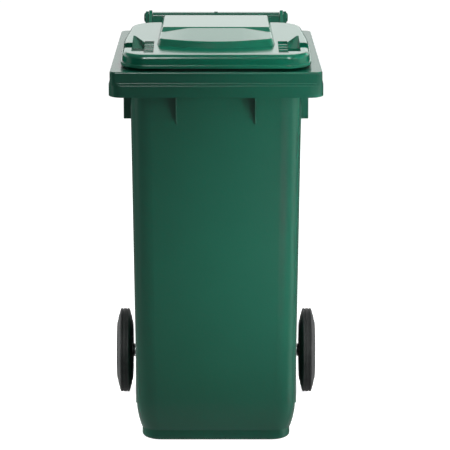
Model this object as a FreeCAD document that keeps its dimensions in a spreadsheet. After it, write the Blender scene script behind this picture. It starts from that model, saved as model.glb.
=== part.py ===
"""Two-wheeled 120-litre waste bin: body, hinged lid, axle, wheels and their catches.

Frame: +Z up, front of the bin towards -Y, origin on the floor under the middle of the outer box.
Depths named "from the front" are measured backwards from the foremost edge of the comb band.
"""
import FreeCAD, Part
import math
import os

import Sketcher

V = FreeCAD.Vector
UP = V(0, 0, 1)
SIDES = (("left", -1), ("right", 1))

SIZES = {
    # whole object
    "overall_depth": 560,
    "wall": 3.6,
    # rim flange and comb band, depths from the front
    "rim_top": 882,
    "rim_thick": 4,
    "rim_half_front": 239,
    "rim_half_rear": 224,
    "rim_rear": 465,
    "rim_corner": 30,
    "rim_corner_upper": 14,
    "rim_edge_round": 3,
    "ledge_depth": 1.6,
    "ledge_upper": 857.5,
    "ledge_lower": 852,
    "ledge_round": 1.1,
    "comb_bottom": 825,
    "skirt_side_bottom": 842,
    "skirt_rear_bottom": 852,
    "skirt_thick": 4,
    # tapered shell
    "mouth_half_front": 193.2,
    "mouth_half_rear": 185,
    "mouth_front": 43,
    "mouth_rear": 433,
    "side_draft": 0.0118,
    "front_draft": 0.031,
    "rear_draft": 0.0408,
    "shell_corner": 46,
    "knee_height": 94,
    "belly_radius": 238,
    "foot_height": 25,
    "foot_setback": 2.2,
    "foot_round": 7,
    "floor_height": 14,
    "foot_recess": 7,
    "foot_ring": 24,
    # gussets and lift blocks
    "gusset_thick": 3,
    "gusset_offset": 88,
    "gusset_bottom": 754,
    "gusset_bite": 3.6,
    "gusset_reach": 10,
    "corner_gusset_half": 212,
    "corner_gusset_bottom": 772,
    "side_gusset_drop": 36,
    "block_half": 209.5,
    "block_front": 180,
    "block_rear": 240,
    "block_bottom": 736,
    "block_round": 3,
    # lid
    "lid_gap": 6,
    "lid_front": 17,
    "lid_half": 206.5,
    "lid_half_rear": 190,
    "lid_bend": 215,
    "lid_rear": 430,
    "lid_corner_front": 50,
    "lid_corner_rear": 60,
    "lid_flare": 3,
    "lip_proud": 2.6,
    "lip_height": 8,
    "shoulder_front": 917.5,
    "shoulder_rear": 908,
    "shoulder_round": 9,
    "panel_half_front": 132,
    "panel_half_rear": 121,
    "panel_lean": 5,
    "panel_foot": 917,
    "panel_apex": 74.5,
    "panel_apex_lean": 5.3,
    "panel_shoulder": 126,
    "panel_shoulder_lean": 9,
    "panel_bow": 280,
    "panel_bow_change": 30,
    "panel_corner": 27,
    "panel_corner_change": 8,
    "panel_rear": 496,
    "panel_top": 930,
    "panel_round": 6,
    "plateau_top": 936,
    "plateau_front": 212,
    "plateau_ramp": 26,
    "plateau_crown": 4.6,
    "crown_half": 62,
    "crown_end": 116,
    "panel_fall": 410,
    "panel_fall_top": 928.5,
    "panel_rear_top": 908,
    # corner grips
    "grip_inner": 160,
    "grip_outer": 188,
    "grip_front": 62,
    "grip_rear": 170,
    "grip_deep": 21,
    "notch_front": 106,
    "notch_rear": 167,
    "ramp_rear": 268,
    "ramp_deep": 19,
    "rest_inner": 139,
    "rest_front": 44,
    "rest_rear": 184,
    "rest_deep": 8,
    "rib_first": 58,
    "rib_pitch": 28,
    "rib_count": 4,
    "rib_long": 12,
    "rib_tall": 7,
    # hinge and handle
    "hinge_depth": 530,
    "hinge_height": 899,
    "pin_radius": 7,
    "pin_head_radius": 11,
    "pin_head_thick": 4,
    "running_gap": 0.05,
    "bar_half": 149.5,
    "bar_height": 24,
    "bar_depth": 26,
    "bar_bore_end": 118,
    "lug_inner": 150.3,
    "lug_outer": 157.7,
    "lug_radius": 17,
    "arm_inner": 158.5,
    "arm_outer": 165.5,
    "arm_radius": 14.5,
    "fork_inner": 127,
    "fork_top": 905,
    "fork_crest": 505,
    "fork_groove": 484,
    # running gear
    "axle_depth": 460,
    "axle_height": 100,
    "axle_radius": 10,
    "axle_half": 231,
    "axle_chamfer": 2,
    "groove_width": 7.4,
    "groove_radius": 6.8,
    "catch_offset": 203.8,
    "cheek_outer": 190,
    "cheek_front": 340,
    "cheek_thick": 16,
    "bush_radius": 13,
    "bush_flange_radius": 19,
    "bush_flange": 2,
    "washer_radius": 16,
    "washer_thick": 2,
    "wheel_offset": 217.7,
    "wheel_radius": 100,
    "wheel_half": 19,
    "tyre_seat": 66,
    "tread_half": 9.8,
    "hub_boss": 15.5,
    "hub_inner_end": 23,
    "hub_web": 5,
    "hub_ring": 5,
    "cap_radius": 24,
    "catch_radius": 3,
    "catch_length": 14,
    "catch_seat": 31,
    "turret_radius": 6,
    "turret_top": 34,
    "spring_mean": 2.1,
    "spring_wire": 0.7,
    "spring_turns": 6,
    # buffers and chip nest
    "buffer_radius": 8,
    "buffer_stem": 3.5,
    "buffer_stem_length": 7,
    "buffer_front": 140,
    "buffer_rear": 335,
    "nest_offset": 140,
    "nest_depth": 24,
    "nest_radius": 16,
    "nest_bottom": 848,
    "plug_radius": 12.5,
    "plug_length": 10,
}

doc = FreeCAD.newDocument("WheelieBin")
sheet = doc.addObject("Spreadsheet::Sheet", "Sizes")
for row, (alias, number) in enumerate(SIZES.items(), start=1):
    sheet.set("A%d" % row, alias)
    sheet.set("B%d" % row, str(number))
    sheet.setAlias("B%d" % row, alias)
doc.recompute()


def size(alias):
    """Value of one cell of the sheet."""
    return float(sheet.get(alias))


def depth(distance):
    """Y of a point that lies this far behind the foremost edge."""
    return distance - size("overall_depth") / 2


# ---------------------------------------------------------------- outlines and solids


def on_level(height):
    """Maps outline points to the level plane at a height."""
    return lambda a, b: V(a, b, height)


def on_side(offset):
    """Maps outline points (depth, height) to the upright plane at an X offset."""
    return lambda a, b: V(offset, a, b)


def on_front(offset):
    """Maps outline points (X, height) to the upright plane at a Y offset."""
    return lambda a, b: V(a, offset, b)


def outline(corners, place):
    """Closed wire through corners (a, b, radius), each rounded by a tangent arc."""
    spans = []
    for index, (a, b, radius) in enumerate(corners):
        here = V(a, b, 0)
        to_before = (V(*corners[index - 1][:2], 0) - here).normalize()
        to_after = (V(*corners[(index + 1) % len(corners)][:2], 0) - here).normalize()
        half_angle = to_before.getAngle(to_after) / 2
        setback = radius / math.tan(half_angle)
        crown = radius / math.sin(half_angle) - radius
        start = here + to_before * setback
        end = here + to_after * setback
        middle = here
        if radius:
            middle = here + (to_before + to_after).normalize() * crown
        spans.append([place(point.x, point.y) for point in (start, middle, end)])
    edges = []
    for index, (start, middle, end) in enumerate(spans):
        if start.distanceToPoint(end) > 1e-6:
            edges.append(Part.Arc(start, middle, end).toShape())
        onward = spans[(index + 1) % len(spans)][0]
        if end.distanceToPoint(onward) > 1e-6:
            edges.append(Part.makeLine(end, onward))
    return Part.Wire(edges)


def prism(wire, along):
    """Solid swept from a closed flat wire."""
    return Part.Face(wire).extrude(along)


def block(x_range, y_range, z_range):
    """Box between the two ends of each range."""
    lows = [min(span) for span in (x_range, y_range, z_range)]
    highs = [max(span) for span in (x_range, y_range, z_range)]
    spans = [high - low for low, high in zip(lows, highs)]
    return Part.makeBox(*spans, V(*lows))


def rod(start, end, radius):
    """Round bar between two points."""
    along = end - start
    return Part.makeCylinder(radius, along.Length, start, along)


def trapezium(front, rear, half_front, half_rear, radius_front, radius_rear, height):
    """Level outline, equal on both sides of X = 0, with rounded corners."""
    corners = [
        (-half_front, front, radius_front),
        (half_front, front, radius_front),
        (half_rear, rear, radius_rear),
        (-half_rear, rear, radius_rear),
    ]
    return outline(corners, on_level(height))


def plate(corners, near, far):
    """Upright slab between two X offsets, with its outline given as (y, z, radius)."""
    return prism(outline(corners, on_side(near)), V(far - near, 0, 0))


def mirrored(solid):
    """The same solid on the other side of X = 0."""
    return solid.mirror(V(0, 0, 0), V(1, 0, 0))


def both_sides(solid):
    """A solid and its twin on the other side of X = 0."""
    return [solid, mirrored(solid)]


def rounded_edges(solid, radius, wanted):
    """Fillets the edges whose middle point the test accepts."""
    edges = []
    for edge in solid.Edges:
        middle = edge.valueAt((edge.FirstParameter + edge.LastParameter) / 2)
        if wanted(edge, middle):
            edges.append(edge)
    return solid.makeFillet(radius, edges)


def moulding(label, shape):
    """Free-form piece whose sizes come from the sheet through the functions here."""
    feature = doc.addObject("Part::Feature", label)
    feature.Label = label
    feature.Shape = shape
    feature.Placement = FreeCAD.Placement()
    return feature


# ---------------------------------------------------------------- bin body


def shell_outline(height, inset):
    """Outline of the tapered shell, curving in below the knee."""
    drop = size("rim_top") - height
    below = max(0, size("knee_height") - height)
    belly = below ** 2 / (2 * size("belly_radius"))
    radius = size("shell_corner") - inset
    return trapezium(
        depth(size("mouth_front") + drop * size("front_draft") + belly + inset),
        depth(size("mouth_rear") - drop * size("rear_draft") - belly - inset),
        size("mouth_half_front") - drop * size("side_draft") - belly - inset,
        size("mouth_half_rear") - drop * size("side_draft") - belly - inset,
        radius,
        radius,
        height,
    )


def shell_solid(inset, bottom):
    """Filled shell: straight above the knee, curved down to the foot, then upright."""
    knee = size("knee_height")
    foot = size("foot_height")
    above = Part.makeLoft(
        [shell_outline(knee, inset), shell_outline(size("rim_top"), inset)], True, True
    )
    steps = 4
    heights = [foot + (knee - foot) * step / steps for step in range(steps + 1)]
    curve = Part.makeLoft([shell_outline(height, inset) for height in heights], True, False)
    base = shell_outline(foot, inset + size("foot_setback"))
    foot_solid = prism(base, V(0, 0, bottom - foot))
    return above, curve, foot_solid


def rim_outline(inset, corner, height):
    """Outline of the rim, narrowing to the rear."""
    front = size("rim_half_front")
    rear = size("rim_half_rear")
    return trapezium(
        depth(inset), depth(size("rim_rear") - inset), front - inset, rear - inset, corner, corner, height
    )


def rim_band(inset, corner, low, high):
    """Filled band of the rim between two heights."""
    return prism(rim_outline(inset, corner, low), V(0, 0, high - low))


def rim_solids():
    """Flange with its turned-down skirt, which steps out twice on its way down."""
    top = size("rim_top")
    upper_ledge = size("ledge_upper")
    lower_ledge = size("ledge_lower")
    low = size("comb_bottom")
    skirt = size("skirt_thick")
    step = size("ledge_depth")
    ledge_round = size("ledge_round")
    edge_round = size("rim_edge_round")
    upper_corner = size("rim_corner_upper")
    lower_corner = size("rim_corner")
    upper = rim_band(2 * step, upper_corner, lower_ledge, top)
    upper = rounded_edges(upper, edge_round, lambda edge, middle: middle.z > top - 0.1)
    strip = rim_band(step, (upper_corner + lower_corner) / 2, lower_ledge, upper_ledge)
    strip = rounded_edges(strip, ledge_round, lambda edge, middle: middle.z > upper_ledge - 0.1)
    lower = rim_band(0, lower_corner, low, lower_ledge)
    lower = rounded_edges(lower, ledge_round, lambda edge, middle: middle.z > lower_ledge - 0.1)
    inset = 2 * step + skirt
    hollow_upper = rim_band(inset, upper_corner - skirt, lower_ledge - inset, top - size("rim_thick"))
    hollow_lower = rim_band(skirt, lower_corner - skirt, low - 1, lower_ledge - skirt)
    rim = upper.multiFuse([strip, lower]).cut([hollow_upper, hollow_lower])
    beyond = depth(size("rim_rear") + 15)
    ahead = depth(-5)
    under = [
        (ahead, low, 0),
        (depth(60), low, 0),
        (depth(78), size("skirt_side_bottom"), 0),
        (depth(400), size("skirt_rear_bottom"), 0),
        (beyond, size("skirt_rear_bottom"), 0),
        (beyond, low - 20, 0),
        (ahead, low - 20, 0),
    ]
    reach = size("rim_half_front") + 5
    return rim.cut(plate(under, -reach, reach))


def rim_half_at(distance):
    """Half-width of the rim at a depth."""
    taper = (size("rim_half_front") - size("rim_half_rear")) / size("rim_rear")
    return size("rim_half_front") - distance * taper


def comb_gussets():
    """Ribs that stiffen the comb band and the rim's underside."""
    top = size("rim_top") - size("rim_thick") / 2
    thick = size("gusset_thick")
    offset = size("gusset_offset")
    into_wall = size("mouth_front") + 8
    band_foot = size("comb_bottom") + 3
    face = size("gusset_bite")
    front = [
        (depth(face), top, 0),
        (depth(face), band_foot, 0),
        (depth(into_wall - 6), size("gusset_bottom"), 8),
        (depth(into_wall), size("gusset_bottom"), 0),
        (depth(into_wall), top, 0),
    ]
    ribs = both_sides(plate(front, offset - thick / 2, offset + thick / 2))
    inner = size("mouth_half_front") - size("gusset_reach")
    corner = [
        (inner, top, 0),
        (inner, size("corner_gusset_bottom"), 0),
        (size("corner_gusset_half"), band_foot, 0),
        (size("corner_gusset_half"), top, 0),
    ]
    place = on_front(depth(size("mouth_front") + size("shell_corner") - thick))
    ribs += both_sides(prism(outline(corner, place), V(0, thick, 0)))
    bottom = size("skirt_side_bottom") - size("side_gusset_drop")
    for distance in (130, 290, 370, 425):
        outer = rim_half_at(distance) - face
        side = [
            (inner, top, 0),
            (inner, bottom, 0),
            (inner + 4, bottom, 0),
            (outer, size("skirt_rear_bottom") + 3, 0),
            (outer, top, 0),
        ]
        ribs += both_sides(prism(outline(side, on_front(depth(distance))), V(0, thick, 0)))
    return ribs


def lift_blocks():
    """Hollow side blocks under the rim, open at the bottom."""
    wall = size("gusset_thick")
    inner = size("mouth_half_rear") - 6
    outer = size("block_half")
    front = size("block_front")
    rear = size("block_rear")
    bottom = size("block_bottom")
    flange = size("rim_top") - size("rim_thick")
    top = flange + size("rim_thick") / 2
    full = block((inner, outer), (depth(front), depth(rear)), (bottom, top))
    middle_height = (bottom + top) / 2
    upright = lambda edge, middle: middle.x > outer - 1 and abs(middle.z - middle_height) < 1
    full = rounded_edges(full, size("block_round"), upright)
    across = (depth(front + wall), depth(rear - wall))
    hollow = block((inner - 1, outer - wall), across, (bottom - 1, flange))
    return both_sides(full), both_sides(hollow)


def axle_cheeks():
    """Upright plates and inner saddles behind the lower rear wall that carry the axle."""
    axle = size("axle_depth")
    height = size("axle_height")
    cheek = [
        (depth(size("cheek_front")), 6, 0),
        (depth(axle - 18), 6, 12),
        (depth(axle + 27), height - 30, 22),
        (depth(axle + 27), height + 26, 22),
        (depth(axle - 12), height + 118, 30),
        (depth(size("cheek_front")), height + 170, 0),
    ]
    outer = size("cheek_outer")
    inner = outer - size("cheek_thick")
    plates = both_sides(plate(cheek, inner, outer))
    saddle = [
        (depth(380), 30, 0),
        (depth(axle - 16), 30, 10),
        (depth(axle + 18), height - 26, 16),
        (depth(axle + 18), height + 18, 16),
        (depth(axle - 20), height + 70, 20),
        (depth(380), height + 90, 0),
    ]
    for offset in (34, 104):
        plates += both_sides(plate(saddle, offset - 2.5, offset + 2.5))
    web = [
        (depth(380), height + 126, 0),
        (depth(axle - 26), height + 126, 0),
        (depth(axle - 26), height + 130, 0),
        (depth(380), height + 136, 0),
    ]
    plates.append(plate(web, -inner - 1, inner + 1))
    return plates


def axle_channel():
    """Space for the axle, wider in the cheeks where the bushes sit."""
    centre = V(0, depth(size("axle_depth")), size("axle_height"))
    reach = V(size("cheek_outer") + 5, 0, 0)
    inner = V(size("cheek_outer") - size("cheek_thick") - 2, 0, 0)
    cuts = [rod(centre - reach, centre + reach, size("axle_radius") + size("running_gap"))]
    bore = rod(centre + inner, centre + reach, size("bush_radius") + size("running_gap"))
    return cuts + both_sides(bore)


def bar_profile():
    """Section of the grip bar with two grooves along its front and two along its rear."""
    half_depth = size("bar_depth") / 2
    half_height = size("bar_height") / 2
    centre = depth(size("hinge_depth"))
    height = size("hinge_height")
    groove = 1.2
    front = []
    for level in (3.2, -3.2):
        front.append((-half_depth, level + 1.4, 0.3))
        front.append((-half_depth + groove, level, 0.3))
        front.append((-half_depth, level - 1.4, 0.3))
    points = [(-half_depth, half_height, 7)] + front + [(-half_depth, -half_height, 7)]
    points += [(-a, -b, radius) for a, b, radius in points]
    return [(centre + a, height + b, radius) for a, b, radius in points]


def handle_solids():
    """Grip bar, fork blocks at its ends, outer hinge arms and the middle beam."""
    centre = depth(size("hinge_depth"))
    height = size("hinge_height")
    radius = size("arm_radius")
    bar_half = size("bar_half")
    arm_inner = size("arm_inner")
    arm_outer = size("arm_outer")
    bar = prism(outline(bar_profile(), on_side(-bar_half)), V(2 * bar_half, 0, 0))
    wall = depth(size("mouth_rear") - 6)
    rim = depth(size("rim_rear"))
    top = size("rim_top")
    arm = [
        (wall, top - 1, 0),
        (rim - 4, top - 1, 6),
        (centre - 6, height + radius - 1.4, 8),
        (centre + 4, height, 0),
        (centre + 2, height - radius + 1, 8),
        (rim - 2, top - 34, 24),
        (wall, top - 86, 0),
    ]
    hub = rod(V(arm_inner, centre, height), V(arm_outer, centre, height), radius)
    solids = [bar]
    solids += both_sides(plate(arm, arm_inner, arm_outer).fuse(hub))
    fork_inner = size("fork_inner")
    fork = [
        (wall, top - 1, 0),
        (rim - 4, top - 1, 6),
        (depth(size("fork_crest")), size("fork_top"), 2),
        (centre, size("fork_top"), 0),
        (centre - 6, height - size("bar_height") / 2 + 1, 6),
        (rim - 2, top - 30, 24),
        (wall, top - 80, 0),
    ]
    solids += both_sides(plate(fork, fork_inner, bar_half))
    beam = [
        (wall, top - 1, 0),
        (depth(size("panel_rear") + 4), top - 1, 3),
        (centre - 10, height + 2, 3),
        (centre, height + 2, 0),
        (centre, height - 10, 0),
        (rim - 2, top - 26, 14),
        (wall, top - 60, 0),
    ]
    solids.append(plate(beam, -4, 4))
    bar_top = height + size("bar_height") / 2
    solids.append(block((-4, 4), (centre - 5, centre + 5), (bar_top - 4, bar_top + 1.5)))
    return solids


def fork_hollows():
    """Pockets that make each fork block a channel, open underneath."""
    centre = depth(size("hinge_depth"))
    wall = size("wall")
    rim = depth(size("rim_rear"))
    top = size("rim_top")
    pocket = [
        (rim + 1, top - 50, 0),
        (rim + 1, top - 6, 2),
        (centre - 19, size("hinge_height") + 2, 3),
        (centre - 19, top - 50, 0),
    ]
    hollows = both_sides(plate(pocket, size("fork_inner") + wall, size("bar_half") - wall))
    run = size("fork_crest") - size("rim_rear") + 4
    groove = size("fork_groove")
    surface = size("fork_top") - (size("fork_top") - top) * (size("fork_crest") - groove) / run
    across = (size("fork_inner") - 1, size("bar_half") + 1)
    hollows += both_sides(block(across, (depth(groove), depth(groove + 2.4)), (surface - 1, surface + 9)))
    return hollows


def pin_bores():
    """Bores for the hinge pins through the outer arms and into the bar's ends."""
    centre = depth(size("hinge_depth"))
    height = size("hinge_height")
    radius = size("pin_radius") + size("running_gap")
    start = V(size("bar_bore_end"), centre, height)
    end = V(size("arm_outer") + 1, centre, height)
    return both_sides(rod(start, end, radius))


def chip_nest():
    """Boss under the comb band's flange with a socket, open below."""
    x = size("nest_offset")
    y = depth(size("nest_depth"))
    top = V(x, y, size("rim_top") - size("rim_thick") / 2)
    bottom = V(x, y, size("nest_bottom"))
    boss = rod(bottom, top, size("nest_radius"))
    socket_top = V(x, y, size("rim_top") - size("rim_thick") - 4)
    socket = rod(V(x, y, size("nest_bottom") - 1), socket_top, size("plug_radius") + size("running_gap"))
    return boss, socket


def bin_body_shape():
    """Whole body moulding: shell, foot, rim, blocks, axle cheeks and grip bar."""
    above, curve, foot = shell_solid(0, 0)
    foot = rounded_edges(foot, size("foot_round"), lambda edge, middle: middle.z < 0.1)
    hollow_above, hollow_curve, hollow_foot = shell_solid(size("wall"), size("floor_height"))
    hollow = hollow_above.fuse(hollow_curve).fuse(hollow_foot)
    blocks, block_hollows = lift_blocks()
    boss, socket = chip_nest()
    solids = [above, curve, foot, rim_solids(), boss]
    solids += comb_gussets() + blocks + axle_cheeks() + handle_solids()
    body = solids[0].multiFuse(solids[1:])
    ring = size("foot_ring")
    recess = prism(shell_outline(size("foot_height"), ring), V(0, 0, size("foot_recess")))
    recess.translate(V(0, 0, -size("foot_height")))
    cuts = [hollow, recess, socket] + axle_channel() + pin_bores() + fork_hollows()
    for solid in block_hollows:
        cuts.append(solid.cut(above))
    return body.cut(cuts).removeSplitter()


# ---------------------------------------------------------------- lid


def lid_outline(grow, height):
    """Plan outline of the lid's domed part, narrowing behind its bend."""
    half = size("lid_half") + grow
    rear_half = size("lid_half_rear") + grow
    front = depth(size("lid_front") - grow)
    rear = depth(size("lid_rear") + grow)
    bend = depth(size("lid_bend"))
    corner_front = size("lid_corner_front") + grow
    corner_rear = size("lid_corner_rear") + grow
    corners = [
        (-half, front, corner_front),
        (half, front, corner_front),
        (half, bend, 700),
        (rear_half, rear, corner_rear),
        (-rear_half, rear, corner_rear),
        (-half, bend, 700),
    ]
    return outline(corners, on_level(height))


def shoulder_solid(inset, bottom):
    """Lower dome of the lid: flared sides under a top that falls to the rear."""
    flare_top = size("shoulder_front") + 6
    low_outline = lid_outline(size("lid_flare") - inset, bottom)
    sides = Part.makeLoft([low_outline, lid_outline(-inset, flare_top)], True, True)
    front = size("shoulder_front") - inset
    rear = size("shoulder_rear") - inset
    above = [
        (depth(-20), front, 0),
        (depth(size("lid_front") + 20), front, 0),
        (depth(size("lid_rear") + 20), rear, 0),
        (depth(size("lid_rear") + 20), flare_top + 10, 0),
        (depth(-20), flare_top + 10, 0),
    ]
    dome = sides.cut(plate(above, -300, 300))
    radius = size("shoulder_round") - inset
    return rounded_edges(dome, radius, lambda edge, middle: middle.z > rear - 2 and not crosses(edge))


def crosses(edge):
    """True for an edge that runs straight across the lid inside its outline."""
    ends = [vertex.Point for vertex in edge.Vertexes]
    if len(ends) < 2:
        return False
    level = abs(ends[0].y - ends[1].y) < 0.01
    inside = depth(size("lid_front") + 10) < ends[0].y < depth(size("lid_rear") - 10)
    return level and inside


def panel_outline(inset, height):
    """Raised panel's outline at a height: a bowed front that leans back, and tapering sides."""
    rise = (height - size("panel_foot")) / (size("panel_top") - size("panel_foot"))
    apex = depth(size("panel_apex") + size("panel_apex_lean") * rise + inset)
    shoulder = depth(size("panel_shoulder") + size("panel_shoulder_lean") * rise + inset)
    bow = size("panel_bow") - size("panel_bow_change") * rise
    corner = size("panel_corner") - size("panel_corner_change") * rise - inset
    half_front = size("panel_half_front") - size("panel_lean") * rise - inset
    half_rear = size("panel_half_rear") - size("panel_lean") * rise - inset
    rear = depth(size("panel_rear") - inset)
    corners = [
        (0, apex, bow),
        (half_front, shoulder, corner),
        (half_rear, rear, 0),
        (-half_rear, rear, 0),
        (-half_front, shoulder, corner),
    ]
    return outline(corners, on_level(height))


def above_panel(inset, crown, offset):
    """Outline, at an X offset, of the space above the panel; the crown lifts its front part's rear end."""
    ramp = size("plateau_front")
    ramp_end = ramp + size("plateau_ramp")
    sky = size("plateau_top") + 30
    behind = size("panel_rear") + 20
    steep = size("plateau_ramp") / (size("plateau_top") - size("panel_top"))
    fall = (size("panel_fall_top") - size("panel_rear_top")) / (size("panel_rear") - size("panel_fall"))
    corners = [
        (depth(-40), size("panel_top") - inset, 0),
        (depth(110), size("panel_top") - inset, 0),
        (depth(ramp + crown * steep), size("panel_top") + crown - inset, 6),
        (depth(ramp_end), size("plateau_top") - inset, 6),
        (depth(size("panel_fall")), size("panel_fall_top") - inset, 30),
        (depth(behind), size("panel_rear_top") - 20 * fall - inset, 0),
        (depth(behind), sky, 0),
        (depth(-40), sky, 0),
    ]
    return outline(corners, on_side(offset))


def panel_solid(inset, bottom):
    """Raised panel, crowned in front of its rear plateau and falling towards the hinge."""
    base = size("shoulder_rear") - 2
    over = size("plateau_top") + 2
    sides = Part.makeLoft([panel_outline(inset, base), panel_outline(inset, over)], True, True)
    behind = prism(panel_outline(inset, base), V(0, 0, bottom - base))
    behind = behind.common(block((-300, 300), (depth(380), depth(550)), (bottom, base)))
    crown = size("plateau_crown")
    half = size("crown_half")
    end = size("crown_end")
    stations = ((-200, 0), (-end, 0), (-half, crown), (half, crown), (end, 0), (200, 0))
    sections = [above_panel(inset, lift, offset) for offset, lift in stations]
    top = Part.makeLoft(sections, True, True)
    panel = sides.cut(top)
    panel = rounded_edges(
        panel, size("panel_round") - inset, lambda edge, middle: is_panel_edge(edge, middle, base + 1)
    )
    return panel.fuse(behind)


def is_panel_edge(edge, middle, above):
    """True for the edges along the panel's two long top sides."""
    ends = [vertex.Point for vertex in edge.Vertexes]
    lengthways = abs(ends[0].y - ends[-1].y) > 1 and abs(ends[0].x - ends[-1].x) < 20
    return lengthways and abs(middle.x) > size("panel_half_rear") - 10 and middle.z > above


def grip_pockets(grow):
    """Stepped recess at each front corner that fingers reach into to lift the lid."""
    shoulder = size("shoulder_front")
    over = shoulder + 20
    inner = size("grip_inner") - grow
    outer = size("grip_outer") + grow
    rear = size("grip_rear") + grow
    floor = shoulder - size("grip_deep") - grow
    ramp_floor = shoulder - size("ramp_deep") - grow
    ramp_rear = size("ramp_rear") + 3 * grow
    main = block((inner, outer), (depth(size("grip_front") - grow), depth(rear)), (floor, over))
    notch_span = (depth(size("notch_front") - grow), depth(size("notch_rear") + grow))
    notch = block((outer - 8, outer + 37), notch_span, (floor + 3, over))
    triangle = [(inner, depth(rear - 1), 0), (outer, depth(rear - 1), 0), (outer, depth(ramp_rear), 0)]
    ramp = prism(outline(triangle, on_level(ramp_floor)), V(0, 0, 40))
    slope = [
        (depth(rear - 10), ramp_floor, 0),
        (depth(ramp_rear + 5), shoulder - grow - 2, 0),
        (depth(ramp_rear + 5), over, 0),
        (depth(rear - 10), over, 0),
    ]
    ramp = ramp.common(plate(slope, 100, 240))
    rest_span = (depth(size("rest_front") - grow), depth(size("rest_rear") + grow))
    rest_floor = shoulder - size("rest_deep") - grow
    rest = block((size("rest_inner") - grow, inner + grow + 0.5), rest_span, (rest_floor, over))
    return both_sides(main.multiFuse([notch, ramp, rest]))


def finger_ribs():
    """Cross ribs on the floor of each finger rest."""
    ribs = []
    inner = size("rest_inner") - 1
    outer = size("grip_inner")
    low = size("shoulder_front") - size("rest_deep") - 2
    for index in range(int(size("rib_count"))):
        front = depth(size("rib_first") + index * size("rib_pitch"))
        rear = front + size("rib_long")
        rib = [
            (front, low, 0),
            (front + 1, low + size("rib_tall"), 3),
            (rear - 3, low + size("rib_tall"), 3),
            (rear, low, 0),
        ]
        ribs += both_sides(plate(rib, inner, outer))
    return ribs


def lid_lugs():
    """Plates that reach back from the lid's shoulders to the hinge pins."""
    centre = depth(size("hinge_depth"))
    height = size("hinge_height")
    radius = size("lug_radius")
    low = size("rim_top") + size("lid_gap")
    lug = [
        (depth(size("lid_rear") - 22), low + 2, 0),
        (centre - 12, low, 8),
        (centre, height, 0),
        (centre - 4, height + radius - 1, 6),
        (centre - 16, height + radius - 6, 8),
        (depth(size("lid_rear") + 30), size("shoulder_rear") - 10, 14),
        (depth(size("lid_rear") + 2), size("shoulder_rear") - 5, 6),
        (depth(size("lid_rear") - 22), size("shoulder_rear") - 3, 0),
    ]
    inner = size("lug_inner")
    outer = size("lug_outer")
    eye = rod(V(inner, centre, height), V(outer, centre, height), radius)
    return both_sides(plate(lug, inner, outer).fuse(eye))


def lug_bores():
    """Bores for the hinge pins through the lid's lugs."""
    centre = depth(size("hinge_depth"))
    height = size("hinge_height")
    radius = size("pin_radius") + size("running_gap")
    start = V(size("lug_inner") - 1, centre, height)
    return both_sides(rod(start, V(size("lug_outer") + 1, centre, height), radius))


def buffer_places():
    """Centres of the four lid buffers, just inside the lid's side walls."""
    inset = size("wall") + size("buffer_radius") + 1
    bend = size("lid_bend")
    slope = (size("lid_half") - size("lid_half_rear")) / (size("lid_rear") - bend)
    places = []
    for distance in (size("buffer_front"), size("buffer_rear")):
        x = size("lid_half") - max(0, distance - bend) * slope - inset
        places += [V(-x, depth(distance), 0), V(x, depth(distance), 0)]
    return places


def buffer_bosses():
    """Bosses moulded inside the lid that hold the buffers' stems, and their sockets."""
    low = size("rim_top") + size("lid_gap")
    bosses = []
    sockets = []
    for place in buffer_places():
        start = place + UP * low
        bosses.append(rod(start, start + UP * 26, size("buffer_radius") - 1))
        stem_gap = size("buffer_stem") + size("running_gap")
        sockets.append(rod(start - UP, start + UP * (size("buffer_stem_length") + 1), stem_gap))
    return bosses, sockets


def lid_shape():
    """Lid shell with its lip, grips, finger ribs, buffer bosses and hinge lugs."""
    wall = size("wall")
    low = size("rim_top") + size("lid_gap")
    lip_middle = low + size("lip_height") / 2
    lip = prism(lid_outline(size("lid_flare") + size("lip_proud"), low), UP * size("lip_height"))
    lip = rounded_edges(lip, 2, lambda edge, middle: abs(middle.z - lip_middle) > 3)
    outer = shoulder_solid(0, low).multiFuse([panel_solid(0, low + 2), lip])
    outer = outer.cut(grip_pockets(0))
    inner = shoulder_solid(wall, low - 1).fuse(panel_solid(wall, low - 1))
    inner = inner.cut(grip_pockets(wall))
    bosses, sockets = buffer_bosses()
    inside = outer.common(Part.makeCompound(bosses))
    shell = outer.cut(inner)
    lid = shell.multiFuse([inside] + lid_lugs() + finger_ribs())
    return lid.cut(sockets + lug_bores()).removeSplitter()


# ---------------------------------------------------------------- turned pieces


def value(obj, expression):
    """Number that an expression on the sheet gives, in millimetres."""
    result = obj.evalExpression(expression)
    return float(getattr(result, "Value", result))


def origin_feature(body, role):
    """One of a body's own origin planes or axes."""
    return [feature for feature in body.Origin.OriginFeatures if feature.Role == role][0]


def bind_point(sketch, edge, corner):
    """Ties an edge's first point to two expressions on the sheet, measured from the origin."""
    for kind, axis, expression in (("DistanceX", -2, corner[0]), ("DistanceY", -1, corner[1])):
        if expression == "0":
            sketch.addConstraint(Sketcher.Constraint("PointOnObject", edge, 1, axis))
            continue
        amount = value(sketch, expression)
        index = sketch.addConstraint(Sketcher.Constraint(kind, -1, 1, edge, 1, amount))
        sketch.setExpression("Constraints[%d]" % index, expression)


def polygon_sketch(body, name, role, corners):
    """Closed polygon on an origin plane; each corner is a pair of expressions."""
    sketch = body.newObject("Sketcher::SketchObject", name)
    sketch.AttachmentSupport = (origin_feature(body, role), "")
    sketch.MapMode = "FlatFace"
    points = [V(value(sketch, a), value(sketch, b), 0) for a, b in corners]
    count = len(points)
    for index, point in enumerate(points):
        sketch.addGeometry(Part.LineSegment(point, points[(index + 1) % count]), False)
    for index in range(count):
        sketch.addConstraint(Sketcher.Constraint("Coincident", index, 2, (index + 1) % count, 1))
    for index, corner in enumerate(corners):
        bind_point(sketch, index, corner)
    return sketch


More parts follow.
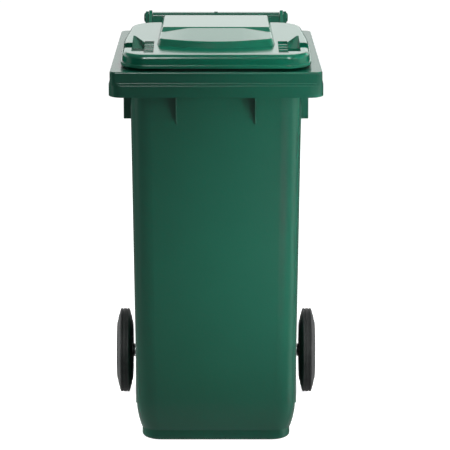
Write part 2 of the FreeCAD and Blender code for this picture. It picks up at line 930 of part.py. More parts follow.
def circle_sketch(body, name, role, centre, radius):
    """Circle on an origin plane, bound to expressions for its centre and radius."""
    sketch = body.newObject("Sketcher::SketchObject", name)
    sketch.AttachmentSupport = (origin_feature(body, role), "")
    sketch.MapMode = "FlatFace"
    middle = V(value(sketch, centre[0]), value(sketch, centre[1]), 0)
    sketch.addGeometry(Part.Circle(middle, V(0, 0, 1), value(sketch, radius)), False)
    index = sketch.addConstraint(Sketcher.Constraint("Radius", 0, value(sketch, radius)))
    sketch.setExpression("Constraints[%d]" % index, radius)
    for kind, axis, expression in (("DistanceX", -2, centre[0]), ("DistanceY", -1, centre[1])):
        if expression == "0":
            sketch.addConstraint(Sketcher.Constraint("PointOnObject", 0, 3, axis))
            continue
        index = sketch.addConstraint(Sketcher.Constraint(kind, -1, 1, 0, 3, value(sketch, expression)))
        sketch.setExpression("Constraints[%d]" % index, expression)
    return sketch


def turned_body(label, corners):
    """Body of revolution about its own Z; corners are (radius, height) expressions."""
    body = doc.addObject("PartDesign::Body", label)
    body.Label = label
    sketch = polygon_sketch(body, label + "_profile", "XZ_Plane", corners)
    turn = body.newObject("PartDesign::Revolution", label + "_turn")
    turn.Profile = sketch
    turn.ReferenceAxis = (sketch, ["V_Axis"])
    turn.Angle = 360
    body.Tip = turn
    return body


def tube_corners(inner, outer, low, high, chamfer="0.6"):
    """Half-section of a plain tube with its outer edges broken."""
    return [
        (inner, low),
        ("%s - %s" % (outer, chamfer), low),
        (outer, "%s + %s" % (low, chamfer)),
        (outer, "%s - %s" % (high, chamfer)),
        ("%s - %s" % (outer, chamfer), high),
        (inner, high),
    ]


def cut_round(body, name, role, centre, radius, length, both):
    """Round pocket cut from an origin plane, in whichever direction removes more."""
    doc.recompute()
    before = body.Shape.Volume
    sketch = circle_sketch(body, name + "_sketch", role, centre, radius)
    pocket = body.newObject("PartDesign::Pocket", name)
    pocket.Profile = sketch
    pocket.setExpression("Length", length)
    pocket.Midplane = both
    body.Tip = pocket
    volumes = []
    for backwards in (False, True):
        pocket.Reversed = backwards
        doc.recompute()
        volumes.append(body.Shape.Volume)
    pocket.Reversed = volumes[1] < volumes[0]
    doc.recompute()
    if body.Shape.Volume > before - 1:
        raise RuntimeError(name + " cuts nothing")
    return pocket


def repeated(body, feature, count):
    """Polar pattern of a feature about the body's Z."""
    pattern = body.newObject("PartDesign::PolarPattern", feature.Name + "_ring")
    pattern.Originals = [feature]
    pattern.Axis = (origin_feature(body, "Z_Axis"), [""])
    pattern.Angle = 360
    pattern.Occurrences = count
    body.Tip = pattern
    doc.recompute()
    return pattern


def outward(side):
    """Turns a piece's own Z to point out of one side of the bin, and its own Y upwards."""
    z_way = V(side, 0, 0)
    y_way = V(0, 0, 1)
    return FreeCAD.Rotation(y_way.cross(z_way), y_way, z_way, "ZYX")


def place_on_axle(body, side, offset):
    """Seats a body on the axle's line, this far from the middle."""
    where = V(side * size(offset), depth(size("axle_depth")), size("axle_height"))
    body.Placement = FreeCAD.Placement(where, outward(side))


def cell(name):
    """Reference to one cell of the sheet."""
    return "Sizes." + name


def axle():
    """Round steel bar with chamfered ends and a catch groove near each of them."""
    half = cell("axle_half")
    radius = cell("axle_radius")
    chamfer = cell("axle_chamfer")
    end_radius = "%s - %s" % (radius, chamfer)
    corners = [("0", "-" + half), (end_radius, "-" + half), (radius, "-%s + %s" % (half, chamfer))]
    for sign in ("-", ""):
        middle = sign + cell("catch_offset")
        low = "%s - Sizes.groove_width / 2" % middle
        high = "%s + Sizes.groove_width / 2" % middle
        groove = cell("groove_radius")
        corners += [(radius, low), (groove, low), (groove, high), (radius, high)]
    corners += [(radius, "%s - %s" % (half, chamfer)), (end_radius, half), ("0", half)]
    body = turned_body("axle", corners)
    where = V(0, depth(size("axle_depth")), size("axle_height"))
    body.Placement = FreeCAD.Placement(where, outward(1))


def hinge_pin(name, side):
    """Plastic pin with a domed head; its own Z points out of the bin's side."""
    head = cell("pin_head_thick")
    length = "(Sizes.arm_outer - Sizes.bar_bore_end - 1)"
    corners = [
        ("0", "-" + length),
        ("Sizes.pin_radius - 1.5", "-" + length),
        ("Sizes.pin_radius", "-%s + 2.5" % length),
        ("Sizes.pin_radius", "0"),
        ("Sizes.pin_head_radius", "0"),
        ("Sizes.pin_head_radius", head + " * 0.4"),
        ("Sizes.pin_head_radius - 1.6", head + " * 0.8"),
        ("Sizes.pin_head_radius - 4.5", head),
        ("0", head),
    ]
    body = turned_body("hinge_pin_" + name, corners)
    where = V(side * size("arm_outer"), depth(size("hinge_depth")), size("hinge_height"))
    body.Placement = FreeCAD.Placement(where, outward(side))


def axle_bush(name, side):
    """Flanged plastic bush in the body's axle cheek."""
    inner = "(Sizes.axle_radius + Sizes.running_gap)"
    corners = [
        (inner, "-Sizes.cheek_thick - 0.5"),
        ("Sizes.bush_radius", "-Sizes.cheek_thick - 0.5"),
        ("Sizes.bush_radius", "0"),
        ("Sizes.bush_flange_radius", "0"),
        ("Sizes.bush_flange_radius", "Sizes.bush_flange - 0.5"),
        ("Sizes.bush_flange_radius - 0.5", "Sizes.bush_flange"),
        (inner, "Sizes.bush_flange"),
    ]
    place_on_axle(turned_body("axle_bush_" + name, corners), side, "cheek_outer")


def spacer_washer(name, side):
    """Washer between the bush's flange and the wheel's boss."""
    body = turned_body(
        "spacer_washer_" + name,
        tube_corners("(Sizes.axle_radius + 0.3)", "Sizes.washer_radius", "0.1", "Sizes.washer_thick", "0.4"),
    )
    place_on_axle(body, side, "cheek_outer")
    body.Placement.Base.x += side * size("bush_flange")


def wheel_hub(name, side):
    """Ribbed plastic wheel centre: boss, web with round windows, ring that seats the tyre, catch turret."""
    bore = "(Sizes.axle_radius + Sizes.running_gap)"
    ring = "(Sizes.tyre_seat - Sizes.hub_ring)"
    half = "Sizes.wheel_half"
    web = "Sizes.hub_web / 2"
    corners = [
        (bore, "-Sizes.hub_inner_end"),
        ("Sizes.hub_boss - 1", "-Sizes.hub_inner_end"),
        ("Sizes.hub_boss", "-Sizes.hub_inner_end + 1"),
        ("Sizes.hub_boss + 1.5", "-" + web),
        (ring, "-" + web),
        (ring + " + 1", "-%s + 1" % half),
        (ring + " + 2", "-" + half),
        ("Sizes.tyre_seat + 1", "-" + half),
        ("Sizes.tyre_seat + 1", "-%s + 2.5" % half),
        ("Sizes.tyre_seat", "-%s + 3" % half),
        ("Sizes.tyre_seat", "-4"),
        ("Sizes.tyre_seat + 3", "-3"),
        ("Sizes.tyre_seat + 3", "3"),
        ("Sizes.tyre_seat", "4"),
        ("Sizes.tyre_seat", "%s - 3" % half),
        ("Sizes.tyre_seat + 1", "%s - 2.5" % half),
        ("Sizes.tyre_seat + 1", half),
        (ring + " + 2", half),
        (ring + " + 1", "%s - 1" % half),
        (ring, web),
        ("Sizes.cap_radius + 4", web),
        ("Sizes.cap_radius + 3", "%s - 2" % half),
        ("Sizes.cap_radius", "%s - 2" % half),
        ("Sizes.cap_radius", "%s - 6" % half),
        ("Sizes.axle_radius + 5", "%s - 6" % half),
        (bore, "%s - 6" % half),
    ]
    body = turned_body("wheel_hub_" + name, corners)
    window = cut_round(body, "window_" + name, "XY_Plane", ("46", "0"), "8", "20", True)
    repeated(body, window, 8)
    turret(body, name)
    place_on_axle(body, side, "wheel_offset")


def turret(body, name):
    """Blind radial housing for the catch pin on the boss's inner side."""
    level = "Sizes.catch_offset - Sizes.wheel_offset"
    sketch = circle_sketch(body, "turret_sketch_" + name, "XZ_Plane", ("0", level), "Sizes.turret_radius")
    tower = body.newObject("PartDesign::Pad", "turret_" + name)
    tower.Profile = sketch
    tower.setExpression("Length", "Sizes.turret_top")
    body.Tip = tower
    doc.recompute()
    wall_point = V(0, size("turret_top") - 1, value(sketch, level))
    if not tower.Shape.isInside(wall_point, 0.01, True):
        tower.Reversed = True
    catch_bore = "Sizes.catch_radius + Sizes.running_gap"
    axle_bore = "Sizes.axle_radius + Sizes.running_gap"
    cut_round(body, "catch_bore_" + name, "XZ_Plane", ("0", level), catch_bore, "Sizes.catch_seat", False)
    cut_round(body, "axle_bore_" + name, "XY_Plane", ("0", "0"), axle_bore, "80", True)


def tyre(name, side):
    """Solid rubber tyre with a flat grooved crown."""
    half = "Sizes.wheel_half"
    seat = "(Sizes.tyre_seat + 0.05)"
    tread = "Sizes.tread_half"
    radius = "Sizes.wheel_radius"
    outline_half = [
        ("Sizes.tyre_seat + 1.3", "%s - 0.6" % half),
        ("Sizes.tyre_seat + 5", "%s - 0.8" % half),
        ("Sizes.tyre_seat + 6", "%s - 1.8" % half),
        ("Sizes.tyre_seat + 13", "%s - 3.4" % half),
        ("Sizes.tyre_seat + 14", "%s - 2.9" % half),
        ("Sizes.tyre_seat + 22", "%s - 5.4" % half),
        (radius + " - 4", tread + " + 1.7"),
        (radius + " - 1", tread + " + 0.5"),
        (radius, tread + " - 0.7"),
        (radius, "5.4"),
        (radius + " - 1.6", "4.9"),
        (radius + " - 1.6", "3.7"),
        (radius, "3.2"),
    ]
    corners = outline_half + [(a, "-(%s)" % b) for a, b in reversed(outline_half)]
    corners += [
        ("Sizes.tyre_seat + 1.3", "-%s + 2.4" % half),
        (seat, "-%s + 3.1" % half),
        (seat, "-4.1"),
        ("Sizes.tyre_seat + 3.1", "-3.1"),
        ("Sizes.tyre_seat + 3.1", "3.1"),
        (seat, "4.1"),
        (seat, "%s - 3.1" % half),
        ("Sizes.tyre_seat + 1.3", "%s - 2.4" % half),
    ]
    place_on_axle(turned_body("tyre_" + name, corners), side, "wheel_offset")


def hub_cap(name, side):
    """Shallow domed cap pressed into the hub's outer face."""
    half = "Sizes.wheel_half"
    rim = "(Sizes.cap_radius - 0.2)"
    corners = [
        ("0", "%s - 3" % half),
        (rim + " - 2", "%s - 3" % half),
        (rim + " - 2", "%s - 5.9" % half),
        (rim, "%s - 5.9" % half),
        (rim, "%s - 2" % half),
        (rim + " - 1", "%s - 0.8" % half),
        (rim + " - 6", "%s + 0.6" % half),
        (rim + " - 7", "%s + 0.2" % half),
        (rim + " - 9", "%s + 0.2" % half),
        (rim + " - 10", "%s + 1.1" % half),
        ("6", "%s + 2" % half),
        ("0", "%s + 2.2" % half),
    ]
    place_on_axle(turned_body("hub_cap_" + name, corners), side, "wheel_offset")


def latch_pin(name, side):
    """Catch pin whose tip stands in the axle's groove; its own Z points up, away from the axle."""
    tip = "(Sizes.groove_radius + 0.4)"
    top = "(%s + Sizes.catch_length)" % tip
    corners = [
        ("0", tip),
        ("Sizes.catch_radius - 1", tip),
        ("Sizes.catch_radius", tip + " + 1"),
        ("Sizes.catch_radius", top),
        ("0", top),
    ]
    body = turned_body("latch_pin_" + name, corners)
    where = V(side * size("catch_offset"), depth(size("axle_depth")), size("axle_height"))
    body.Placement = FreeCAD.Placement(where, FreeCAD.Rotation())


def latch_spring(name, side):
    """Small compression spring between the catch pin and the turret's blind end."""
    low = size("groove_radius") + 0.4 + size("catch_length") + 0.1
    wire = size("spring_wire")
    length = size("catch_seat") - 0.1 - low - wire
    helix = Part.makeHelix(length / size("spring_turns"), length, size("spring_mean"))
    section = Part.Wire(Part.makeCircle(wire / 2, V(size("spring_mean"), 0, 0), V(0, 1, 0)))
    coil = Part.Wire(helix).makePipeShell([section], True, True)
    spring = doc.addObject("Part::Feature", "latch_spring_" + name)
    spring.Label = "latch_spring_" + name
    spring.Shape = coil
    where = V(side * size("catch_offset"), depth(size("axle_depth")), size("axle_height") + low + wire / 2)
    spring.Placement = FreeCAD.Placement(where, FreeCAD.Rotation())


def lid_buffers():
    """Four equal rubber studs whose stems stand in the lid's bosses."""
    low = size("rim_top")
    gap = size("lid_gap")
    studs = []
    for place in buffer_places():
        head = Part.makeCylinder(size("buffer_radius"), gap - 0.3, place + UP * (low + 0.2))
        head = head.makeChamfer(0.8, head.Edges)
        seat = place + UP * (low + gap)
        stem = rod(seat - UP * 0.2, seat + UP * size("buffer_stem_length"), size("buffer_stem"))
        studs.append(head.fuse(stem))
    moulding("lid_buffers", Part.makeCompound(studs))


def chip_nest_plug():
    """Cap that closes the chip nest from below, with a coin slot."""
    corners = [
        ("0", "0"),
        ("Sizes.plug_radius - 0.8", "0"),
        ("Sizes.plug_radius", "0.8"),
        ("Sizes.plug_radius", "Sizes.plug_length"),
        ("Sizes.plug_radius - 2.5", "Sizes.plug_length"),
        ("Sizes.plug_radius - 2.5", "3"),
        ("0", "3"),
    ]
    body = turned_body("chip_nest_plug", corners)
    doc.recompute()
    before = body.Shape.Volume
    sketch = polygon_sketch(
        body, "coin_slot_sketch", "XY_Plane", [("-8", "-1.2"), ("8", "-1.2"), ("8", "1.2"), ("-8", "1.2")]
    )
    slot = body.newObject("PartDesign::Pocket", "coin_slot")
    slot.Profile = sketch
    slot.Length = 3
    slot.Midplane = True
    body.Tip = slot
    doc.recompute()
    if body.Shape.Volume > before - 1:
        raise RuntimeError("the coin slot cuts nothing")
    where = V(size("nest_offset"), depth(size("nest_depth")), size("nest_bottom") + 1)
    body.Placement = FreeCAD.Placement(where, FreeCAD.Rotation())


# ---------------------------------------------------------------- assembly and files


def build():
    moulding("bin_body", bin_body_shape())
    moulding("lid", lid_shape())
    lid_buffers()
    axle()
    chip_nest_plug()
    for name, side in SIDES:
        hinge_pin(name, side)
        axle_bush(name, side)
        spacer_washer(name, side)
        wheel_hub(name, side)
        tyre(name, side)
        hub_cap(name, side)
        latch_pin(name, side)
        latch_spring(name, side)
    doc.recompute()


def sub_parts():
    """The top-level pieces: bodies, and features that belong to no body."""
    return [item for item in doc.Objects if item.TypeId in ("PartDesign::Body", "Part::Feature")]


def check():
    """Stops on any failed object or unsound shape."""
    for item in doc.Objects:
        if "Invalid" in item.State or "Error" in item.State:
            raise RuntimeError("%s is %s" % (item.Label, item.State))
    for item in sub_parts():
        if item.Shape.isNull() or not item.Shape.isValid():
            raise RuntimeError(item.Label + " has no sound shape")


def write_files():
    os.makedirs("parts", exist_ok=True)
    for item in sub_parts():
        shape = item.Shape
        solids = len(shape.Solids)
        print("%-20s %d solid(s) %9.1f cm3" % (item.Label, solids, shape.Volume / 1000))
        shape.exportStep(os.path.join("parts", item.Label + ".step"))


build()
check()
write_files()
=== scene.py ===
"""Looks of the two-wheeled waste bin: materials, catch springs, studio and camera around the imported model."""

import math

import bpy
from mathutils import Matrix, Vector


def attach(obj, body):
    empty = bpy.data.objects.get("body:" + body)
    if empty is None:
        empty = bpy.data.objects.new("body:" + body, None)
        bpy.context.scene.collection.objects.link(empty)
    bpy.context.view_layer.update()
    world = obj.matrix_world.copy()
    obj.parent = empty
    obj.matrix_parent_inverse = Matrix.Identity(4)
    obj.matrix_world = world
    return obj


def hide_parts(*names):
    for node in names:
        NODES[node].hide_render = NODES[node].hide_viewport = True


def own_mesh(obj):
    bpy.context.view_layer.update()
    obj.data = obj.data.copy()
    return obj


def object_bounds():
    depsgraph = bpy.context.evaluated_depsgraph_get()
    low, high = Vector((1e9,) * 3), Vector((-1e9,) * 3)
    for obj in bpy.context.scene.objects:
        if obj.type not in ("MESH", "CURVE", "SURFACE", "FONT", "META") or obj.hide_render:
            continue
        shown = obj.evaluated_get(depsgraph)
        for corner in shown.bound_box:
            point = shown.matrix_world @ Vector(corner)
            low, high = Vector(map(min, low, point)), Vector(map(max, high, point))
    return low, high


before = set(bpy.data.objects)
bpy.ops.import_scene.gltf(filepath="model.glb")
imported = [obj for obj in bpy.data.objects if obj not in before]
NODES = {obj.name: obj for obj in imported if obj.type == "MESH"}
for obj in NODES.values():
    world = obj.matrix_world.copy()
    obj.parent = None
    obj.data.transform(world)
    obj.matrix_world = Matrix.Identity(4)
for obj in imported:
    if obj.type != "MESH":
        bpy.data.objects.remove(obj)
CAD_LOW, CAD_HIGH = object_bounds()
SIDES = (("left", -1), ("right", 1))

# ---------------------------------------------------------------- named values, metres and linear colours

BODY_COLOUR = (0.0046, 0.086, 0.052)
BODY_SHADE = (0.0042, 0.081, 0.049)
LID_COLOUR = (0.0035, 0.122, 0.070)
LID_SHADE = (0.0032, 0.115, 0.066)
BLACK_PLASTIC = (0.013, 0.013, 0.014)
BLACK_SHADE = (0.010, 0.010, 0.011)
TYRE_BLACK = (0.018, 0.019, 0.019)
TYRE_DUST = (0.036, 0.037, 0.037)
BUFFER_BLACK = (0.016, 0.016, 0.016)
BUFFER_DUST = (0.026, 0.026, 0.026)
ZINC = (0.60, 0.61, 0.62)
ZINC_SHADE = (0.44, 0.45, 0.47)
FLOOR = (0.50, 0.50, 0.50)
FLOOR_SHADE = (0.48, 0.48, 0.48)

# strength of the surround's parts, and the back wall's top in degrees
BACK_WALL = 1.35
BACK_WALL_TOP = 20
RIGHT_WALL = 0.8
LEFT_WALL = 0.4
GROUND_GLOW = 0.45
CEILING = 0.20
FLOOR_GLOW = 0.92

# power of the lights in watts; GLINT is a panel's brightness
KEY = 1.25
FILL = 1.3
OVERHEAD = 20.0
REAR_FILL = 20.0
SIDE_FILL = 25.0
GLINT = 16.0
LID_LIGHT = 0.30
WHEEL_LIGHT = 1.6
RIGHT_LIGHT = 2.5

# camera: distance in front of the body, height, and lens in millimetres
CAMERA_BACK = 6.942
CAMERA_HEIGHT = 2.409
CAMERA_PITCH = math.radians(15.1)
SENSOR = 36.0
LENS = 257.9
CAMERA_SHIFT = 0.02
CAMERA_DROP = -0.0013


# ---------------------------------------------------------------- node helpers


def new_material(name):
    """Empty node material with a principled shader; returns (material, tree, shader)."""
    material = bpy.data.materials.new(name)
    material.use_nodes = True
    tree = material.node_tree
    tree.nodes.clear()
    shader = tree.nodes.new("ShaderNodeBsdfPrincipled")
    output = tree.nodes.new("ShaderNodeOutputMaterial")
    tree.links.new(shader.outputs["BSDF"], output.inputs["Surface"])
    return material, tree, shader


def noise(tree, scale, detail=3.0, roughness=0.5, stretch=(1, 1, 1)):
    """Noise value in object space, in features per metre."""
    coordinates = tree.nodes.new("ShaderNodeTexCoord")
    mapping = tree.nodes.new("ShaderNodeMapping")
    mapping.inputs["Scale"].default_value = stretch
    texture = tree.nodes.new("ShaderNodeTexNoise")
    texture.inputs["Scale"].default_value = scale
    texture.inputs["Detail"].default_value = detail
    texture.inputs["Roughness"].default_value = roughness
    tree.links.new(coordinates.outputs["Object"], mapping.inputs["Vector"])
    tree.links.new(mapping.outputs["Vector"], texture.inputs["Vector"])
    return texture.outputs["Fac"]


def spread(tree, value, low, high, from_low=0.3, from_high=0.7):
    """Value mapped from one range to another."""
    mapped = tree.nodes.new("ShaderNodeMapRange")
    mapped.inputs["From Min"].default_value = from_low
    mapped.inputs["From Max"].default_value = from_high
    mapped.inputs["To Min"].default_value = low
    mapped.inputs["To Max"].default_value = high
    tree.links.new(value, mapped.inputs["Value"])
    return mapped.outputs["Result"]


def blend_colours(tree, factor, first, second):
    """Colour between two, by a factor."""
    mix = tree.nodes.new("ShaderNodeMix")
    mix.data_type = "RGBA"
    mix.inputs["A"].default_value = (*first, 1)
    mix.inputs["B"].default_value = (*second, 1)
    tree.links.new(factor, mix.inputs["Factor"])
    return mix.outputs["Result"]


def bump(tree, height, distance, strength, below=None):
    """Normal from a height, on top of another bump."""
    node = tree.nodes.new("ShaderNodeBump")
    node.inputs["Distance"].default_value = distance
    node.inputs["Strength"].default_value = strength
    tree.links.new(height, node.inputs["Height"])
    if below is not None:
        tree.links.new(below, node.inputs["Normal"])
    return node.outputs["Normal"]


def rounded(tree, radius):
    """Normal that rounds sharp edges a little."""
    node = tree.nodes.new("ShaderNodeBevel")
    node.samples = 4
    node.inputs["Radius"].default_value = radius
    return node.outputs["Normal"]


def moulded_plastic(name, colour, shade, roughness, specular, grain=2600, grain_depth=0.000008, edge=0.0007):
    """Injection-moulded polyethylene: faint clouding, slow shrinkage ripple, fine skin grain, rounded edges."""
    material, tree, shader = new_material(name)
    cloud = spread(tree, noise(tree, 9, 3, 0.5), 0, 1)
    tree.links.new(blend_colours(tree, cloud, shade, colour), shader.inputs["Base Color"])
    scuff = spread(tree, noise(tree, 150, 4, 0.6), roughness * 0.97, roughness * 1.04)
    tree.links.new(scuff, shader.inputs["Roughness"])
    ripple = bump(tree, noise(tree, 7, 1, 0.4), 0.0002, 0.2, rounded(tree, edge))
    skin = bump(tree, noise(tree, grain, 2, 0.5), grain_depth, 0.4, ripple)
    tree.links.new(skin, shader.inputs["Normal"])
    shader.inputs["Specular IOR Level"].default_value = specular
    return material


def rubber(name, colour, dusty, roughness):
    """Matte solid rubber with dust in the grain."""
    material, tree, shader = new_material(name)
    dust = spread(tree, noise(tree, 60, 6, 0.65), 0, 1)
    tree.links.new(blend_colours(tree, dust, colour, dusty), shader.inputs["Base Color"])
    patches = spread(tree, noise(tree, 320, 4, 0.6), roughness - 0.08, roughness + 0.1)
    tree.links.new(patches, shader.inputs["Roughness"])
    tree.links.new(bump(tree, noise(tree, 1800, 4, 0.6), 0.00005, 0.5), shader.inputs["Normal"])
    shader.inputs["Specular IOR Level"].default_value = 0.3
    return material


def zinc_steel(name):
    """Zinc-plated drawn steel: bright, with streaks along the bar and cloudy patches."""
    material, tree, shader = new_material(name)
    patches = spread(tree, noise(tree, 45, 5, 0.6), 0, 1)
    tree.links.new(blend_colours(tree, patches, ZINC, ZINC_SHADE), shader.inputs["Base Color"])
    streaks = noise(tree, 900, 3, 0.5, stretch=(0.03, 1, 1))
    tree.links.new(spread(tree, streaks, 0.22, 0.42), shader.inputs["Roughness"])
    tree.links.new(bump(tree, streaks, 0.00003, 0.4), shader.inputs["Normal"])
    shader.inputs["Metallic"].default_value = 1.0
    return material


def dress(name, material):
    """Gives a CAD node its material."""
    slots = NODES[name].data.materials
    slots.clear()
    slots.append(material)


# ---------------------------------------------------------------- materials on the CAD nodes

BODY_GREEN = moulded_plastic("body_green", BODY_COLOUR, BODY_SHADE, 0.24, 0.5)
LID_GREEN = moulded_plastic("lid_green", LID_COLOUR, LID_SHADE, 0.16, 0.5)
PIN_GREEN = moulded_plastic("pin_green", BODY_SHADE, LID_SHADE, 0.30, 0.4)
BLACK = moulded_plastic(
    "black_plastic", BLACK_PLASTIC, BLACK_SHADE, 0.42, 0.4, grain=1800, grain_depth=0.00003
)
TYRE = rubber("tyre_rubber", TYRE_BLACK, TYRE_DUST, 0.6)
BUFFER = rubber("buffer_rubber", BUFFER_BLACK, BUFFER_DUST, 0.7)
STEEL = zinc_steel("zinc_steel")

dress("bin_body", BODY_GREEN)
dress("lid", LID_GREEN)
dress("lid_buffers", BUFFER)
dress("axle", STEEL)
dress("chip_nest_plug", BLACK)
for side_name, side in SIDES:
    dress("hinge_pin_" + side_name, PIN_GREEN)
    dress("axle_bush_" + side_name, BLACK)
    dress("spacer_washer_" + side_name, STEEL)
    dress("wheel_hub_" + side_name, BLACK)
    dress("tyre_" + side_name, TYRE)
    dress("hub_cap_" + side_name, BLACK)
    dress("latch_pin_" + side_name, STEEL)


# ---------------------------------------------------------------- catch springs


def catch_coil(name):
    """Spring of a wheel's catch, which the catch pin presses shorter on the real bin: a steel copy of the CAD
    spring with its own mesh, carried by the wheel.
    """
    node = "latch_spring_" + name
    coil = bpy.data.objects.new("catch_coil_" + name, NODES[node].data.copy())
    bpy.context.scene.collection.objects.link(coil)
    coil.data.materials.clear()
    coil.data.materials.append(STEEL)
    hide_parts(node)
    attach(coil, "wheel_" + name)
    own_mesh(coil)


for side_name, side in SIDES:
    catch_coil(side_name)


# ---------------------------------------------------------------- studio


def floor():
    """Pale floor under the bin, bright enough to run into the white surround."""
    bpy.ops.mesh.primitive_plane_add(size=60)
    plane = bpy.context.object
    plane.name = "floor"
    material, tree, shader = new_material("floor_paper")
    tone = spread(tree, noise(tree, 3, 3, 0.5), 0, 1)
    tree.links.new(blend_colours(tree, tone, FLOOR, FLOOR_SHADE), shader.inputs["Base Color"])
    shader.inputs["Roughness"].default_value = 0.9
    shader.inputs["Specular IOR Level"].default_value = 0.0
    shader.inputs["Emission Color"].default_value = (1, 1, 1, 1)
    shader.inputs["Emission Strength"].default_value = FLOOR_GLOW
    plane.data.materials.append(material)
    plane.visible_glossy = False
    plane.visible_diffuse = False


def soft_light(name, where, aim, width, height, power, cone=180):
    """Rectangular studio light aimed at a point, out of the camera's sight; cone in degrees."""
    data = bpy.data.lights.new(name, "AREA")
    data.shape = "RECTANGLE"
    data.size = width
    data.size_y = height
    data.energy = power
    data.spread = math.radians(cone)
    light = bpy.data.objects.new(name, data)
    bpy.context.scene.collection.objects.link(light)
    light.location = where
    light.rotation_euler = (Vector(aim) - Vector(where)).to_track_quat("-Z", "Y").to_euler()
    light.visible_camera = False
    light.visible_glossy = False
    return light


def glint(name, where, aim, width, height):
    """Small bright panel that shows only in glossy reflections."""
    light = soft_light(name, where, aim, width, height, GLINT * math.pi * width * height)
    light.visible_glossy = True
    light.visible_diffuse = False


def ramp(tree, value, from_low, from_high, to_low=0.0, to_high=1.0):
    """Soft step of a value."""
    mapped = tree.nodes.new("ShaderNodeMapRange")
    mapped.interpolation_type = "SMOOTHSTEP"
    mapped.inputs["From Min"].default_value = from_low
    mapped.inputs["From Max"].default_value = from_high
    mapped.inputs["To Min"].default_value = to_low
    mapped.inputs["To Max"].default_value = to_high
    tree.links.new(value, mapped.inputs["Value"])
    return mapped.outputs["Result"]


def combine(tree, operation, first, second):
    """Sum or product of two values."""
    node = tree.nodes.new("ShaderNodeMath")
    node.operation = operation
    for socket, term in zip(node.inputs, (first, second)):
        if isinstance(term, (int, float)):
            socket.default_value = term
        else:
            tree.links.new(term, socket)
    return node.outputs["Value"]


def height_band(tree, up, low, high, soft):
    """1 between two elevations in degrees, fading out over a few degrees."""
    low_sine = math.sin(math.radians(low))
    low_fade = math.sin(math.radians(low - soft))
    high_sine = math.sin(math.radians(high))
    high_fade = math.sin(math.radians(high + soft))
    rising = ramp(tree, up, low_fade, low_sine)
    falling = ramp(tree, up, high_sine, high_fade, 1.0, 0.0)
    return combine(tree, "MULTIPLY", rising, falling)


def surround():
    """White to the camera; to the object, a room with a bright low wall behind and softer walls beside."""
    world = bpy.data.worlds.new("surround")
    bpy.context.scene.world = world
    world.use_nodes = True
    tree = world.node_tree
    room = tree.nodes["Background"]
    room.inputs["Color"].default_value = (1, 1, 1, 1)
    paper = tree.nodes.new("ShaderNodeBackground")
    paper.inputs["Color"].default_value = (1, 1, 1, 1)
    paper.inputs["Strength"].default_value = 1.0
    direction = tree.nodes.new("ShaderNodeTexCoord")
    axes = tree.nodes.new("ShaderNodeSeparateXYZ")
    tree.links.new(direction.outputs["Generated"], axes.inputs["Vector"])
    right, back, up = (axes.outputs[axis] for axis in "XYZ")
    low_wall = height_band(tree, up, 2, BACK_WALL_TOP, 6)
    behind = combine(tree, "MULTIPLY", low_wall, ramp(tree, back, 0.0, 0.45))
    total = combine(tree, "MULTIPLY", behind, BACK_WALL)
    beside = combine(tree, "MULTIPLY", height_band(tree, up, -35, -4, 8), ramp(tree, right, 0.86, 0.97))
    total = combine(tree, "ADD", total, combine(tree, "MULTIPLY", beside, RIGHT_WALL))
    far_left = combine(tree, "MULTIPLY", height_band(tree, up, -35, -4, 8), ramp(tree, right, -0.93, -0.98))
    total = combine(tree, "ADD", total, combine(tree, "MULTIPLY", far_left, LEFT_WALL))
    ground = combine(tree, "MULTIPLY", ramp(tree, up, -0.10, -0.50), GROUND_GLOW)
    total = combine(tree, "ADD", total, ground)
    above = combine(tree, "MULTIPLY", ramp(tree, up, 0.0, 0.1), CEILING)
    total = combine(tree, "ADD", total, above)
    tree.links.new(total, room.inputs["Strength"])
    seen = tree.nodes.new("ShaderNodeLightPath")
    choice = tree.nodes.new("ShaderNodeMixShader")
    tree.links.new(seen.outputs["Is Camera Ray"], choice.inputs["Fac"])
    tree.links.new(room.outputs["Background"], choice.inputs[1])
    tree.links.new(paper.outputs["Background"], choice.inputs[2])
    output = next(node for node in tree.nodes if node.type == "OUTPUT_WORLD")
    tree.links.new(choice.outputs["Shader"], output.inputs["Surface"])


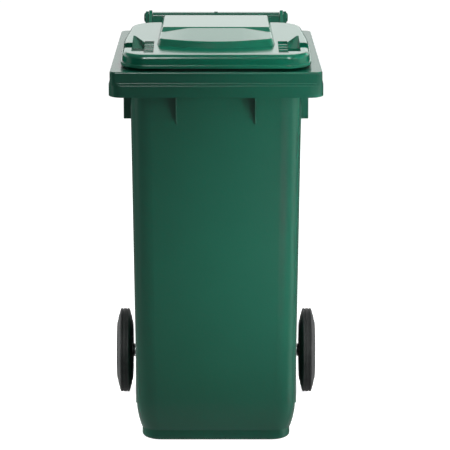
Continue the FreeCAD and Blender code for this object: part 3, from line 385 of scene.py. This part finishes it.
def studio():
    """Soft lights: a low key, fills, an overhead, and small ones for the lid's corner, right side and wheels."""
    surround()
    front = CAD_LOW.y
    top = CAD_HIGH.z
    soft_light("key", (0.45, front - 0.60, 0.42), (0.15, front, 0.42), 0.2, 0.42, KEY, cone=72)
    soft_light("fill", (-1.6, front - 2.2, 0.9), (0, 0, 0.5), 1.2, 1.6, FILL)
    glint("glint_left", (-0.42, front - 2.2, top + 1.15), (-0.16, front, top), 0.55, 1.5)
    glint("glint_right", (0.74, front - 2.2, top + 1.15), (0.16, front, top), 0.42, 1.5)
    lid_corner = (0.26, front, top - 0.08)
    soft_light("lid_light", (0.9, front - 0.9, top + 0.1), lid_corner, 0.2, 0.2, LID_LIGHT, cone=26)
    soft_light("overhead", (0.4, front + 0.2, top + 1.3), (0, 0, top), 1.0, 1.0, OVERHEAD)
    soft_light("rear_fill", (0.6, 2.6, 1.2), (0, 0, 0.5), 1.6, 1.6, REAR_FILL)
    soft_light("left_fill", (-2.6, 0.4, 1.0), (0, 0, 0.5), 1.4, 1.4, SIDE_FILL)
    right_edge = (0.24, front + 0.02, 0.6)
    soft_light("right_light", (1.5, front - 0.5, 0.75), right_edge, 0.5, 0.9, RIGHT_LIGHT, cone=90)
    for name, side in SIDES:
        beside = (side * 1.2, 0.05, 0.3)
        wheel = (side * 0.22, 0.18, 0.08)
        soft_light("wheel_light_" + name, beside, wheel, 0.3, 0.3, WHEEL_LIGHT, cone=40)


def camera():
    """Camera at the photograph's viewing angle: in front, well back, looking down a little."""
    data = bpy.data.cameras.new("camera")
    data.sensor_width = SENSOR
    data.lens = LENS
    data.shift_x = CAMERA_SHIFT
    data.shift_y = CAMERA_DROP
    data.clip_end = 100
    rig = bpy.data.objects.new("camera", data)
    bpy.context.scene.collection.objects.link(rig)
    rig.location = (0, CAD_LOW.y - CAMERA_BACK, CAMERA_HEIGHT)
    rig.rotation_euler = (math.pi / 2 - CAMERA_PITCH, 0, 0)
    bpy.context.scene.camera = rig


floor()
studio()
camera()
bpy.context.scene.view_settings.view_transform = "Standard"
